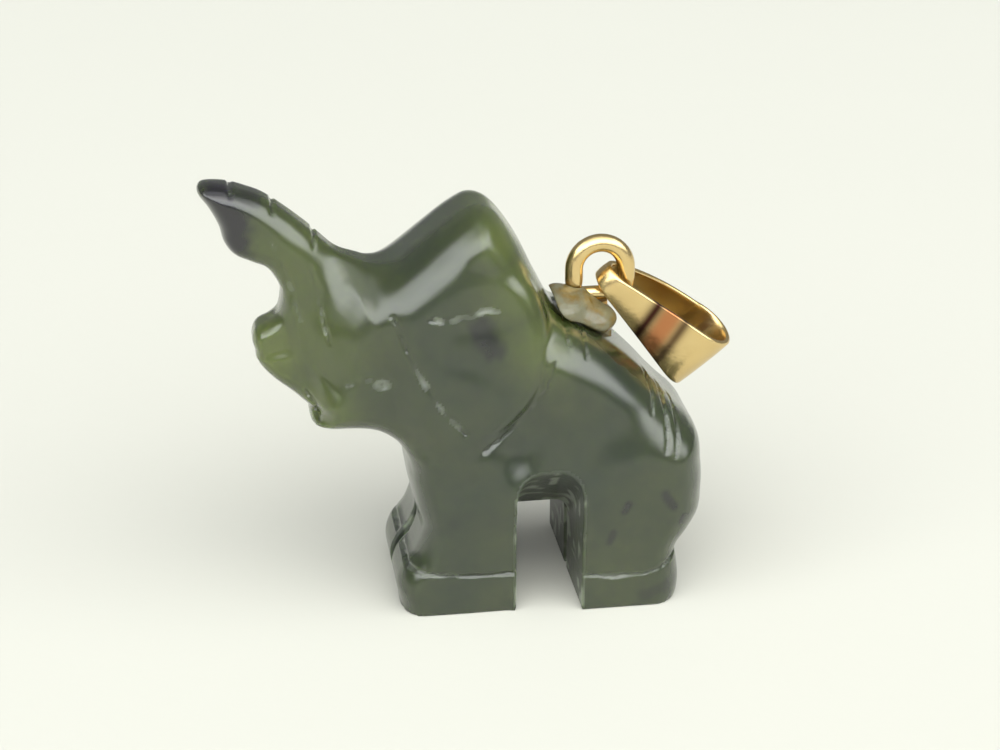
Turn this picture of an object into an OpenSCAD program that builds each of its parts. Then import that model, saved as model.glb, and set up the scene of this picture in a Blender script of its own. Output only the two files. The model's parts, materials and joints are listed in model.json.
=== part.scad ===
// Carved jade elephant charm with a gold eye ring on a glued peg and a hinged bail.
// X runs from the trunk (-) to the rump (+), Y runs across the elephant, Z is up.
// The origin is on the ground, under the middle of the whole charm.

/* [Carving] */
// Length of the stone from trunk tip to rump
stone_length = 24.4; // [20:0.1:30]
// Width of the stone across the hind feet
stone_width = 10.2; // [8:0.1:13]
// Height of the stone from the feet to the trunk tip
stone_height = 21.8; // [18:0.1:27]
// Thickness of the trunk
trunk_thickness = 3.4; // [2.6:0.1:4.4]
// Thickness of each ear beyond the cheek
ear_relief = 0.9; // [0.4:0.1:1.2]

/* [Legs] */
// Width of the saw cut between the left and right legs
leg_slot = 0.8; // [0.5:0.1:1.4]
// Height of the saw cut between the left and right legs
leg_slot_height = 5.4; // [3:0.1:6.4]
// Width of the arch between the front and hind legs
arch_width = 3.3; // [2.4:0.1:4.2]
// Height of the arch at the keel of the belly
arch_height = 4.3; // [3:0.1:5.4]
// Slope of the belly from its keel up to each flank, in degrees
belly_slope = 40; // [25:1:50]

/* [Eye ring] */
// Diameter of the eye ring's wire
wire_diameter = 0.9; // [0.6:0.05:1.1]
// Diameter of the ring along the middle of its wire
ring_diameter = 2.6; // [2.3:0.1:3.4]
// Diameter of the bar across the foot of the ring
bar_diameter = 0.7; // [0.5:0.05:0.9]
// Distance from the ring's centre down to the middle of the bar
bar_drop = 1.3; // [1.2:0.05:1.8]
// Height of the bar's underside above the back
bar_lift = 0.9; // [0.5:0.1:1.1]

/* [Peg and cement] */
// Diameter of the peg in the back
peg_diameter = 0.8; // [0.5:0.05:1]
// Length of the peg below the bar
peg_length = 4.6; // [2:0.1:6.5]
// Diameter of the hole drilled in the back
hole_diameter = 1.3; // [1.2:0.05:1.8]
// Depth of the hole past the end of the peg
hole_spare = 0.3; // [0.1:0.1:1]
// Diameter of the flat ground on the back for the cement
seat_diameter = 3.2; // [2.6:0.1:4]
// Slope of that flat down towards the rump, in degrees
seat_slope = 30; // [22:1:38]
// Height of the cement above the flat
cement_height = 1.3; // [1:0.05:1.6]
// Gap at each bonded joint
bond = 0.03; // [0.01:0.01:0.05]

/* [Bail] */
// Length of the bail from its narrow fold to its wide fold
bail_length = 7.7; // [5.5:0.1:9]
// Width of the strip at the narrow fold
bail_tip_width = 1; // [0.7:0.1:1.2]
// Width of the strip at the wide fold
bail_end_width = 3.5; // [2:0.1:4.2]
// Thickness of the strip
strip_thickness = 0.28; // [0.2:0.02:0.34]
// Play between the narrow fold and the ring's wire, across the wire
fold_play = 0.45; // [0.35:0.05:0.6]
// Distance by which the narrow fold is centred inside the ring's wire
fold_inset = 0.2; // [0.15:0.05:0.3]
// Width inside the wide fold, where a chain passes
chain_gap = 2.7; // [1.9:0.1:3.2]
// Angle of the resting bail below the horizontal, on the stone as drawn, in degrees
bail_rest = 45; // [36:1:46]
// Sideways lean of the bail round its own length, in degrees
bail_lean = 13; // [0:1:15]

/* [Hidden] */
$fn = 48;

// The carving's outlines are drawn at these sizes and brought to the chosen ones
DRAWN_SIZE = [24.4, 10.2, 21.8];
sx = stone_length / DRAWN_SIZE.x;
sz = stone_height / DRAWN_SIZE.z;

// Half widths in Y of the drawn carving, and how far each is rounded off
head_half = 3.7;
body_half = 4.8;
front_half = 4.6;
hind_half = DRAWN_SIZE.y / 2;
lip_half = 1.9;

// Places on the carving that the fittings and cuts take up
tip_x = -14.5 * sx;
ring_x = 5 * sx;
arch_x = 2.1 * sx;
keel_half = 0.9;
back_z = 13.9 * sz;

// The bar stands above the back, and the ring's centre above the bar
bar_z = back_z + bar_lift + bar_diameter / 2;
ring_z = bar_z + bar_drop;
seat_x = ring_x - 0.8;
seat_z = back_z;
peg_top = bar_z - bar_diameter / 2 - bond;
peg_foot = peg_top - peg_length;
hole_foot = peg_foot - hole_spare;

// The narrow fold goes round the ring's wire, and the wide fold is flush with it in front
tip_inside = (wire_diameter + fold_play) / 2;
end_inside = chain_gap / 2;
tip_centre = [ring_diameter / 2 - fold_inset, 0];
fold_x = tip_centre.x - tip_inside - strip_thickness;
end_centre = [
    fold_x + bail_length - end_inside - strip_thickness,
    end_inside - tip_inside
];
bail_slope = 2 * atan2(end_centre.y, end_centre.x - tip_centre.x);

// The bail lies along the back, so its angle follows the back's slope
rest_angle = atan(tan(bail_rest) * sz / sx);

// Half of the whole charm's length, from the trunk tip to the bail's upper corner
end_x = ring_x + (fold_x + bail_length) * cos(rest_angle) + bail_end_width / 2 * sin(rest_angle);
shift_x = -(tip_x + end_x) / 2;

// Outlines of the carving seen from its left side, as [x, z] points running clockwise
TRUNK = [
    [-14.5, 21.4], [-14.2, 21.8], [-12.8, 21.6], [-11.1, 20.9], [-9.4, 19.5],
    [-8, 18.2], [-6.6, 17.2], [-5, 15.5], [-5.5, 12.5], [-8, 11.6], [-9.8, 13],
    [-10.5, 15], [-10.8, 16.6], [-11.4, 17.6], [-12.6, 18.1], [-13.3, 18.8],
    [-13.7, 20.1]
];
LIP = [
    [-9, 15.5], [-7.5, 13], [-8, 11], [-10.2, 11.3], [-11.4, 12.1], [-12, 13],
    [-11.9, 14.1], [-11.3, 14.7], [-10.5, 15.4]
];
HEAD = [
    [-7.4, 16.8], [-6.3, 17.1], [-5.2, 17.6], [-3.5, 18.9], [-2.1, 19.9], [-1.1, 20.3],
    [-0.1, 19.9], [1, 18.4], [1.9, 16.6], [2.7, 14.8], [3, 12], [1, 8.8], [-2.5, 8.2],
    [-4.7, 8.4], [-6.2, 9.4], [-7.6, 9.8], [-9, 9.7], [-9.3, 10.6], [-8.9, 12.2],
    [-8.8, 14.5]
];
EAR = [
    [-5.3, 15.4], [-4.4, 16.6], [-2, 17.6], [0, 17.5], [1.4, 16.6], [2.2, 15.1],
    [2.5, 13.3], [2.1, 11.8], [0.9, 10.2], [-0.6, 9], [-2.4, 8.5], [-3.8, 9],
    [-4.9, 10.4], [-5.3, 12.8]
];
BODY = [
    [1, 15], [3, 14.6], [4.6, 13.8], [6, 12.8], [7.3, 11.6], [8.5, 10.2], [9.4, 8.8],
    [9.8, 7.3], [9.9, 5.8], [9.5, 4.3], [6, 4], [0, 4], [-3.6, 4.6], [-4.4, 6.6],
    [-4.3, 9.4], [-2.5, 13.2]
];
FRONT_LEGS = [
    [0, 8.6], [2.2, 4], [2, -1.6], [-4.9, -1.6], [-5.3, 0.2], [-5.5, 1.3], [-5.2, 2.2],
    [-4.5, 3.1], [-4.1, 4.3], [-4.2, 5.6], [-4.5, 7.2], [-4.4, 9]
];
HIND_LEGS = [
    [9.2, 8.6], [9.7, 7], [9.7, 5.4], [9.4, 3.8], [8.9, 2.7], [9, 1.8], [9.1, 0.8],
    [8.9, -0.2], [8, -1.6], [2, -1.6], [2.2, 4], [5, 8.6]
];

// One closed curve through the points, with that many steps between each two
function curve(points, steps) = [
    for (i = [0 : len(points) - 1], s = [0 : steps - 1])
        let (
            n = len(points),
            a = points[(i + n - 1) % n],
            b = points[i],
            c = points[(i + 1) % n],
            d = points[(i + 2) % n],
            t = s / steps
        )
        b + t / 2 * (c - a + t * (2 * a - 5 * b + 4 * c - d + t * (3 * (b - c) + d - a)))
];

// A clockwise outline moved inwards, each point at right angles to its neighbours' line
function inset(points, distance) = [
    for (i = [0 : len(points) - 1])
        let (
            n = len(points),
            step = points[(i + 1) % n] - points[(i + n - 1) % n]
        )
        points[i] + distance * [step.y, -step.x] / norm(step)
];

// A solid between two Y limits, with that outline across its middle, and with edges
// rounded off by depth in Y and by reach within the outline
module pillow(outline, near, far, depth, reach, steps = 2, bands = 4) {
    edge = curve(outline, steps);
    n = len(edge);
    turns = [for (k = [0 : bands]) k * 90 / bands];
    levels = concat(
        [for (a = turns) [near + depth * (1 - cos(a)), reach * (1 - sin(a))]],
        [for (k = [bands : -1 : 0]) [far - depth * (1 - cos(turns[k])), reach * (1 - sin(turns[k]))]]
    );
    points = [for (level = levels, p = inset(edge, level[1])) [p.x, level[0], p.y]];
    last = len(levels) - 1;
    faces = concat(
        [[for (i = [0 : n - 1]) i]],
        [for (r = [0 : last - 1], i = [0 : n - 1])
            [r * n + i, (r + 1) * n + i, (r + 1) * n + (i + 1) % n]],
        [for (r = [0 : last - 1], i = [0 : n - 1])
            [r * n + i, (r + 1) * n + (i + 1) % n, r * n + (i + 1) % n]],
        [[for (i = [n - 1 : -1 : 0]) last * n + i]]
    );
    polyhedron(points = points, faces = faces, convexity = 8);
}

module both_sides() {
    children();
    mirror([0, 1, 0]) children();
}

// The stone as carved, before it is sawn and drilled
module carving() {
    difference() {
        union() {
            trunk_half = trunk_thickness / 2;
            pillow(TRUNK, -trunk_half, trunk_half, depth = 1.3, reach = 0.5);
            pillow(LIP, -lip_half, lip_half, depth = 0.9, reach = 0.6);
            pillow(HEAD, -head_half, head_half, depth = 3, reach = 1.8);
            pillow(BODY, -body_half, body_half, depth = 3.4, reach = 2);
            pillow(FRONT_LEGS, -front_half, front_half, depth = 1.8, reach = 1.1);
            pillow(HIND_LEGS, -hind_half, hind_half, depth = 2.2, reach = 1.4);
            both_sides()
                pillow(EAR, -head_half - ear_relief, -1, depth = 1.1, reach = 0.9);
        }
        translate([-20, -10, -5]) cube([40, 20, 5]);
    }
}

// The opening sawn through from side to side, with the belly sloping up to each flank
module arch() {
    depth = stone_width + 2;
    corner = 0.7;
    translate([arch_x, depth / 2, 0]) rotate([90, 0, 0]) linear_extrude(depth) {
        translate([-arch_width / 2, -1]) square([arch_width, arch_height + 1 - corner]);
        translate([-arch_width / 2 + corner, 0]) square([arch_width - 2 * corner, arch_height]);
        for (side = [-1, 1])
            translate([side * (arch_width / 2 - corner), arch_height - corner]) circle(corner);
    }
    both_sides()
        translate([arch_x - arch_width / 2, keel_half, arch_height])
            rotate([belly_slope, 0, 0]) translate([0, 0, -10]) cube([arch_width, 12, 10]);
}

// The saw cuts between the left and right legs, in front of the arch and behind it
module slots() {
    run = stone_length;
    reach_in = 0.4;
    for (start = [arch_x - arch_width / 2 + reach_in - run, arch_x + arch_width / 2 - reach_in])
        translate([start, -leg_slot / 2, -1]) cube([run, leg_slot, leg_slot_height + 1]);
}

// Puts its children on the flat ground on the back, which faces up and towards the rump
module on_seat() {
    translate([seat_x, 0, seat_z]) rotate([0, seat_slope, 0]) children();
}

module elephant() {
    color("darkolivegreen") translate([shift_x, 0, 0]) difference() {
        resize([stone_length, stone_width, stone_height]) carving();
        arch();
        slots();
        on_seat() cylinder(d = seat_diameter, h = 3);
        translate([ring_x, 0, hole_foot]) cylinder(d = hole_diameter, h = peg_length + 3);
    }
}

// The ring's wire, with its surface moved outwards by the clearance
module ring_wire(clearance = 0) {
    wire = wire_diameter + 2 * clearance;
    radius = ring_diameter / 2;
    translate([0, 0, ring_z]) rotate([90, 0, 0])
        rotate_extrude(angle = 180) translate([radius, 0]) circle(d = wire);
    for (side = [-1, 1]) translate([side * radius, 0, bar_z]) {
        cylinder(d = wire, h = bar_drop);
        sphere(d = wire);
    }
    translate([-radius, 0, bar_z]) rotate([0, 90, 0])
        cylinder(d = bar_diameter + 2 * clearance, h = 2 * radius);
}

module eye_ring() {
    color("gold") translate([shift_x + ring_x, 0, 0]) ring_wire();
}

module peg() {
    color("goldenrod") translate([shift_x + ring_x, 0, peg_foot])
        cylinder(d = peg_diameter, h = peg_length);
}

// The mound round the foot of the ring, and the sleeve that fills the drilled hole
module cement() {
    radius = seat_diameter / 2 - bond;
    profile = [
        [0, bond], [radius, bond], [0.86 * radius, 0.35 * cement_height],
        [0.6 * radius, 0.8 * cement_height], [0.4 * radius, cement_height], [0, cement_height]
    ];
    color("wheat") translate([shift_x, 0, 0]) difference() {
        union() {
            on_seat() rotate_extrude() polygon(profile);
            translate([ring_x, 0, hole_foot + bond])
                cylinder(d = hole_diameter - 2 * bond, h = peg_top - hole_foot - 2 * bond);
        }
        translate([ring_x, 0, 0]) ring_wire(bond);
        translate([ring_x, 0, peg_foot - bond])
            cylinder(d = peg_diameter + 2 * bond, h = peg_length + 3 * bond);
    }
}

// The bail's loop seen along the chain: two round folds joined by straight leaves
module teardrop(tip_radius, end_radius) {
    back = [-sin(bail_slope), cos(bail_slope)];
    translate(tip_centre) circle(tip_radius);
    translate(end_centre) circle(end_radius);
    polygon([
        tip_centre - [0, tip_radius],
        end_centre - [0, end_radius],
        end_centre + end_radius * back,
        tip_centre + tip_radius * back
    ]);
}

module bail() {
    long = fold_x + bail_length;
    color("gold") translate([shift_x + ring_x, 0, ring_z])
        rotate([0, rest_angle, 0]) rotate([bail_lean, 0, 0]) intersection() {
            translate([0, 0, -bail_end_width]) linear_extrude(2 * bail_end_width) difference() {
                teardrop(tip_inside + strip_thickness, end_inside + strip_thickness);
                teardrop(tip_inside, end_inside);
            }
            rotate([90, 0, 0]) translate([0, 0, -10]) linear_extrude(20) polygon([
                [fold_x - 1, bail_tip_width / 2], [fold_x, bail_tip_width / 2],
                [long, bail_end_width / 2], [long + 1, bail_end_width / 2],
                [long + 1, -bail_end_width / 2], [long, -bail_end_width / 2],
                [fold_x, -bail_tip_width / 2], [fold_x - 1, -bail_tip_width / 2]
            ]);
        }
}

elephant();
eye_ring();
peg();
cement();
bail();
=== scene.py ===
"""Jade elephant charm: the looks of the carved stone, its gold fittings and the cement that holds them."""

import functools
import json
import math

import bpy
import numpy as np
from mathutils import Matrix, Vector


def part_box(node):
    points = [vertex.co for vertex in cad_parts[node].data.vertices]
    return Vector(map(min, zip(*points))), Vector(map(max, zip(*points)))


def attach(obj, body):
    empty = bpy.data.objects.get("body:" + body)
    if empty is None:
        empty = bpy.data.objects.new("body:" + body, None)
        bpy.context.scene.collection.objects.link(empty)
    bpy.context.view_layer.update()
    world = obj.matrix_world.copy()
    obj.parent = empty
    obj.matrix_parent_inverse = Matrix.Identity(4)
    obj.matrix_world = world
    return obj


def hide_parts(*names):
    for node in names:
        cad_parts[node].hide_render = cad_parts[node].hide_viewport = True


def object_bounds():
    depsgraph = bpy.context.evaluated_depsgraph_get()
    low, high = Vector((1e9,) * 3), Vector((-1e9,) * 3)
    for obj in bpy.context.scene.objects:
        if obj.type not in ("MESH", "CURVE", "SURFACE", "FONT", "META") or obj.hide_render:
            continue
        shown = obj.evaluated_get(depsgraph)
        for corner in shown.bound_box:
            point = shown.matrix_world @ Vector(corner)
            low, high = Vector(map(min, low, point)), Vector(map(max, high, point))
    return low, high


bl_info = {
    "name": "Jade Elephant Charm",
    "version": (1, 0, 0),
    "blender": (4, 5, 0),
    "location": "3D View > Sidebar > Jade Charm",
    "description": "Carves a jade elephant and makes its gold ring, peg, cement and bail",
    "category": "Add Mesh",
}

MM = 0.001
# The bar across the ring's foot is this much thinner than its wire
BAR_SHARE = 0.78

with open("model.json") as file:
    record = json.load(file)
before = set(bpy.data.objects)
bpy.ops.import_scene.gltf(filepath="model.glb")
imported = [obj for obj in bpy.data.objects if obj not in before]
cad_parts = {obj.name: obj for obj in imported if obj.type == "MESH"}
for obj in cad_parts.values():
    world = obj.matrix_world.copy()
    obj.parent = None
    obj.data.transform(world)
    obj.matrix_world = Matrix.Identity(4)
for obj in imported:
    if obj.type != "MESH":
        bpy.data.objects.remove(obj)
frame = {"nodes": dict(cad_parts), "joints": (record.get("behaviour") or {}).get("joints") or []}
cad_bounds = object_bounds()
stone_low, stone_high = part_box("elephant")
ring_low, ring_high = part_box("eye_ring")
swing = frame["joints"][0]

# ---------------------------------------------------------------- the carver's drawing
# Side-view outlines of the stone in mm, as [x, z] points running clockwise, with x from
# the trunk (-) to the rump (+) and the feet at z = 0

TRUNK = [
    (-14.5, 21.35), (-14.25, 21.75), (-13.2, 21.7), (-12.1, 21.35), (-11.1, 20.85), (-9.4, 19.5),
    (-8, 18.2), (-6.6, 17.2), (-5, 15.5), (-5.5, 12.5), (-8, 11.6), (-9.8, 13), (-10.4, 15),
    (-10.7, 16.5), (-11.3, 17.5), (-12.1, 17.9), (-12.9, 18.3), (-13.35, 18.9), (-13.55, 19.7),
    (-14, 20.6),
]
WEB = [
    (-10.2, 16.2), (-9.2, 15), (-9.4, 12.6), (-10.8, 12.6), (-11.8, 13), (-12.15, 13.6), (-12.15, 14.1),
    (-11.9, 14.5), (-11.3, 14.8), (-10.85, 15.2),
]
LIP = [
    (-9.3, 14.3), (-7.8, 13.5), (-7.6, 12), (-8.4, 11), (-9.7, 11.05), (-10.7, 11.45), (-11.4, 12.05),
    (-11.9, 12.7), (-12, 13.15), (-11.5, 13.5), (-10.6, 13.7),
]
HEAD = [
    (-7.4, 16.8), (-6.3, 17.1), (-5.2, 17.6), (-3.5, 18.9), (-2.1, 19.9), (-1.1, 20.3), (-0.1, 19.9),
    (1, 18.4), (1.9, 16.6), (2.7, 14.8), (3, 12), (1, 8.8), (-2.5, 8.2), (-4.7, 8.4), (-6.2, 9.2),
    (-7.4, 9.4), (-8.6, 9.45), (-9.4, 9.7), (-9.4, 10.1), (-9.2, 10.5), (-9.4, 11.1), (-9, 12.4),
    (-8.8, 14.5),
]
EAR = [
    (-5.4, 15.6), (-4.5, 16.7), (-2, 17.9), (0, 17.9), (1.3, 17), (2.1, 15.3), (2.4, 13.5),
    (2.1, 12), (1.2, 10.6), (-0.2, 9.3), (-1.8, 8.6), (-3.4, 8.8), (-4.7, 10.2), (-5.3, 12.8),
]
BODY = [
    (1, 15), (3, 14.6), (4.6, 13.8), (6, 12.8), (7.3, 11.6), (8.5, 10.2), (9.4, 8.8), (9.8, 7.3),
    (9.9, 5.8), (9.5, 4.3), (6, 4), (0, 4), (-3.6, 4.6), (-4.4, 6.6), (-4.3, 9.4), (-2.5, 13.2),
]
FRONT_LEGS = [
    (0, 8.6), (2.2, 4), (2, -1.6), (-4.9, -1.6), (-5.3, 0.2), (-5.5, 1.3), (-5.2, 2.2), (-4.5, 3.1),
    (-4.1, 4.3), (-4.2, 5.6), (-4.5, 7.2), (-4.4, 9),
]
HIND_LEGS = [
    (9.2, 8.6), (9.7, 7), (9.7, 5.4), (9.4, 3.8), (8.9, 2.7), (9, 1.8), (9.1, 0.8), (8.9, -0.2),
    (8, -1.6), (2, -1.6), (2.2, 4), (5, 8.6),
]
DRAWN_LOW = Vector((-14.5, -5.1, 0))
DRAWN_HIGH = Vector((9.9, 5.1, 21.8))

# Engraved lines: route, width, depth, and how white and chipped the cut is
LINES = [
    ([(-5.5, 15.8), (-5.0, 14.5), (-4.4, 13.1), (-3.4, 11.4), (-2.9, 10.8), (-2.1, 9.9)], 0.22, 0.1, 0.85),
    ([(2.35, 13.2), (2.0, 11.9), (1.0, 10.4), (-0.3, 9.3), (-1.2, 8.8)], 0.24, 0.1, 0.3),
    ([(-3.7, 15.7), (-2.9, 15.55), (-1.8, 15.7), (-1.0, 15.95), (-0.4, 15.85)], 0.34, 0.08, 1.0),
    ([(-11.1, 19.2), (-10.6, 17.8), (-10.2, 16.6), (-9.8, 15.1)], 0.26, 0.045, 0.35),
    ([(-9.3, 17.8), (-8.8, 15.6), (-8.5, 14.2)], 0.26, 0.045, 0.3),
    ([(-5.2, 2.45), (-3.8, 2.3), (-2.4, 2.15), (-0.9, 2.1), (0.6, 2.15)], 0.26, 0.14, 0.6),
    ([(3.6, 2.0), (5.4, 1.8), (7.0, 1.85), (8.5, 2.4), (9.3, 2.8)], 0.26, 0.14, 0.6),
    ([(-9.7, 11.5), (-9.2, 10.9), (-9.15, 10.2)], 0.36, 0.12, 0.35),
    ([(-7.8, 12.35), (-7.3, 12.55), (-6.7, 12.6)], 0.24, 0.07, 0.4),
]
# Soft hollows ground with a wheel: route, width and depth
HOLLOWS = [
    ([(-7.9, 14.1), (-7.2, 13.6), (-6.2, 13.15), (-4.6, 12.5)], 1.4, 0.07),
    ([(-3.9, 14.2), (-2.9, 13.5), (-1.5, 13.0), (0.0, 12.1)], 1.2, 0.04),
    ([(-3.4, 7.4), (-1.9, 7.0), (-0.9, 7.3), (0.0, 7.9), (1.1, 8.6), (1.9, 9.4)], 2.4, 0.18),
    ([(-2.2, 15.1), (-0.7, 15.2)], 1.6, 0.09),
]
# The tail and the shoulder are scratched on the near side only
NEAR_LINES = [
    ([(7.3, 11.9), (7.5, 10.8), (7.3, 10.2)], 0.22, 0.1, 0.55),
    ([(8.05, 11.4), (8.1, 9.7), (7.95, 8.4)], 0.22, 0.12, 0.6),
    ([(8.7, 10.8), (8.65, 9.3), (8.4, 8.1)], 0.22, 0.07, 0.25),
    ([(3.2, 14.7), (3.15, 13.9)], 0.2, 0.07, 0.5),
    ([(4.05, 14.4), (3.98, 13.2)], 0.2, 0.07, 0.5),
]
# Notches filed across the top of the trunk
NOTCHES = [(-12.85, 21.55), (-10.85, 20.75), (-8.9, 19.1)]
EYE = (-6.1, 12.35)
# Painted light where light comes through the thin stone, as (x, z, reach, strength)
PAINTED_LIGHT_PLACES = [
    (-10.4, 17.8, 3.0, 0.6), (-9.6, 14.2, 3.0, 0.6), (-11.4, 13.4, 2.2, 1.0), (-9.2, 10.8, 2.2, 0.7),
    (1.7, 14.2, 1.8, 0.75), (0.8, 16.8, 2.0, 0.75), (0.1, 19.2, 1.5, 1.0), (-13.9, 21.3, 0.7, 0.6),
]
# Dark inclusions in the stone, and a dark patch painted in the ear's dish, as (route, width, strength)
INCLUSIONS = [
    ([(-13.6, 21.1), (-13.0, 20.3), (-12.9, 19.2)], 2.3, 1.0),
    ([(-12.9, 21.2), (-11.8, 21.1)], 0.9, 0.7),
    ([(-1.3, 15.1), (-0.7, 13.9)], 1.3, 0.75),
    ([(6.0, 5.9), (5.8, 5.5)], 0.5, 0.75), ([(7.9, 6.3), (8.3, 5.6)], 0.6, 0.75),
    ([(8.9, 4.9), (8.8, 4.6)], 0.4, 0.7), ([(5.3, 4.3), (5.1, 3.7)], 0.4, 0.6),
    ([(7.0, 0.6), (8.6, 1.2)], 0.9, 0.45),
]


def curve(points, steps):
    """One closed curve through the points, with that many steps between each two."""
    made = []
    for i, b in enumerate(np.array(points, float)):
        a, c, d = (np.array(points[(i + k) % len(points)], float) for k in (-1, 1, 2))
        for t in np.arange(steps) / steps:
            made.append(b + t / 2 * (c - a + t * (2 * a - 5 * b + 4 * c - d + t * (3 * (b - c) + d - a))))
    return np.array(made)


def stroke(points, x, z):
    """Distance from each place to an open line through the points."""
    found = None
    for (ax, az), (bx, bz) in zip(points, points[1:]):
        dx, dz = bx - ax, bz - az
        t = np.clip(((x - ax) * dx + (z - az) * dz) / (dx * dx + dz * dz), 0, 1)
        away = np.hypot(x - ax - t * dx, z - az - t * dz)
        found = away if found is None else np.minimum(found, away)
    return found


class Outline:
    """A closed outline, with its signed distance kept on a fine grid that is read between its points."""

    step = 0.06
    margin = 1.5

    def __init__(self, points):
        route = curve(points, 6)
        self.low = np.minimum(route.min(0), DRAWN_LOW.xz) - self.margin
        high = np.maximum(route.max(0), DRAWN_HIGH.xz) + self.margin
        counts = np.ceil((high - self.low) / self.step).astype(int) + 1
        x, z = np.meshgrid(*(self.low[k] + self.step * np.arange(counts[k]) for k in (0, 1)), indexing="ij")
        inside = np.zeros(x.shape, bool)
        ends = np.roll(route, -1, 0)
        for (ax, az), (bx, bz) in zip(route, ends):
            spans = (az > z) != (bz > z)
            if az != bz:
                inside ^= spans & (x < ax + (z - az) * (bx - ax) / (bz - az))
        away = stroke([tuple(p) for p in route] + [tuple(route[0])], x, z)
        self.distance = np.where(inside, -away, away).astype(np.float32)

    def __call__(self, x, z):
        u = np.clip((x - self.low[0]) / self.step, 0, self.distance.shape[0] - 1.001)
        v = np.clip((z - self.low[1]) / self.step, 0, self.distance.shape[1] - 1.001)
        i, j = u.astype(int), v.astype(int)
        u, v = u - i, v - j
        d = self.distance
        near = d[i, j] * (1 - u) + d[i + 1, j] * u
        far = d[i, j + 1] * (1 - u) + d[i + 1, j + 1] * u
        return near * (1 - v) + far * v


# ---------------------------------------------------------------- shaping tools


def smoothstep(value, low, high):
    """0 below low, 1 above high and a smooth step between them."""
    t = np.clip((value - low) / (high - low), 0, 1)
    return t * t * (3 - 2 * t)


def cloud(x, y, z, size, seed):
    """Smooth noise between -1 and 1, with lumps about that many mm across."""
    lattice = np.random.default_rng(seed).uniform(-1, 1, (16, 16, 16)).astype(np.float32)
    x, y, z = np.broadcast_arrays(x / size, y / size, z / size)
    cells = [np.floor(a).astype(int) for a in (x, y, z)]
    parts = [smoothstep(a - c, 0, 1) for a, c in zip((x, y, z), cells)]
    total = np.zeros(x.shape, np.float32)
    for corner in range(8):
        bits = [(corner >> k) & 1 for k in range(3)]
        weight = 1
        for part, bit in zip(parts, bits):
            weight = weight * (part if bit else 1 - part)
        total += weight * lattice[tuple((c + bit) % 16 for c, bit in zip(cells, bits))]
    return total


def pillow(outline, side, half, depth, reach):
    """Distance to a slab of that outline and half thickness, its edges rounded off by depth and reach."""
    across = np.maximum(side - (half - depth), 0) / depth
    within = np.maximum(outline + reach, 0) / reach
    q = np.hypot(across, within)
    slope = np.hypot(across / depth, within / reach) / np.maximum(q, 1e-6)
    return np.where(q > 1e-3, (q - 1) / np.maximum(slope, 1e-6), np.maximum(outline, side - half))


def blend_on(a, b, width):
    """Union of two shapes, with a fillet about that wide where they meet."""
    h = np.maximum(width - np.abs(a - b), 0) / width
    return np.minimum(a, b) - h * h * width / 4


def profile(away, width):
    """1 along a line, falling smoothly to 0 at half its width."""
    return np.maximum(1 - (2 * away / width) ** 2, 0) ** 1.5


def skin(field, low, cell):
    """Surface nets: a vertex in each cell that the surface crosses and a quad for each crossed edge."""
    inside = field < 0
    corners = [
        inside[tuple(slice(bit, n - 1 + bit) for bit, n in zip(bits, field.shape))]
        for bits in np.ndindex(2, 2, 2)
    ]
    count = sum(c.astype(np.int8) for c in corners)
    crossed = (count > 0) & (count < 8)
    cells = np.argwhere(crossed)
    index = np.full(crossed.shape, -1)
    index[crossed] = np.arange(len(cells))
    total = np.zeros((len(cells), 3))
    hits = np.zeros((len(cells), 1))
    for axis in range(3):
        unit = np.eye(3, dtype=int)
        others = [k for k in range(3) if k != axis]
        for first in (0, 1):
            for second in (0, 1):
                offset = first * unit[others[0]] + second * unit[others[1]]
                fa = field[tuple((cells + offset).T)]
                fb = field[tuple((cells + offset + unit[axis]).T)]
                cross = (fa < 0) != (fb < 0)
                t = np.where(cross, fa / np.where(cross, fa - fb, 1), 0)[:, None]
                total += np.where(cross[:, None], offset + t * unit[axis], 0)
                hits += cross[:, None]
    vertices = low + cell * (cells + total / hits)
    quads = []
    for axis in range(3):
        u, v = [k for k in range(3) if k != axis]
        a = np.take(inside, range(field.shape[axis] - 1), axis)
        b = np.take(inside, range(1, field.shape[axis]), axis)
        edges = np.argwhere(a != b)
        keep = (edges[:, u] > 0) & (edges[:, v] > 0)
        keep &= (edges[:, u] < field.shape[u] - 1) & (edges[:, v] < field.shape[v] - 1)
        edges = edges[keep]
        du, dv = np.eye(3, dtype=int)[u], np.eye(3, dtype=int)[v]
        square = ((0, 0), (1, 0), (1, 1), (0, 1))
        ring = np.stack([index[tuple((edges - s * du - t * dv).T)] for s, t in square], 1)
        outward = a[tuple(edges.T)] ^ (axis == 1)
        ring[~outward] = ring[~outward][:, ::-1]
        quads.append(ring)
    return vertices, np.concatenate(quads)


def settle(points, field, cell, rounds=2):
    """Moves points onto the surface where the field is 0."""
    step = 0.2 * cell
    for _ in range(rounds):
        value = field(*points.T)
        slope = np.stack([
            field(*(points + step * axis).T) - field(*(points - step * axis).T) for axis in np.eye(3)
        ], 1) / (2 * step)
        move = -value[:, None] * slope / np.maximum((slope ** 2).sum(1), 0.25)[:, None]
        length = np.linalg.norm(move, axis=1, keepdims=True)
        points = points + move * np.minimum(1, 0.5 * cell / np.maximum(length, 1e-9))
    return points


def carve(field, low, high, cell):
    """The mesh of a shape within two corners, from the field that is below 0 inside it."""
    counts = np.ceil((np.array(high) - low) / cell).astype(int) + 1
    axes = [low[k] + cell * np.arange(counts[k]) for k in range(3)]
    values = field(axes[0][:, None, None], axes[1][None, :, None], axes[2][None, None, :])
    points, quads = skin(np.broadcast_to(values, counts).astype(np.float32), np.array(low), cell)
    return settle(points, field, cell), quads


# ---------------------------------------------------------------- the stone


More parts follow.
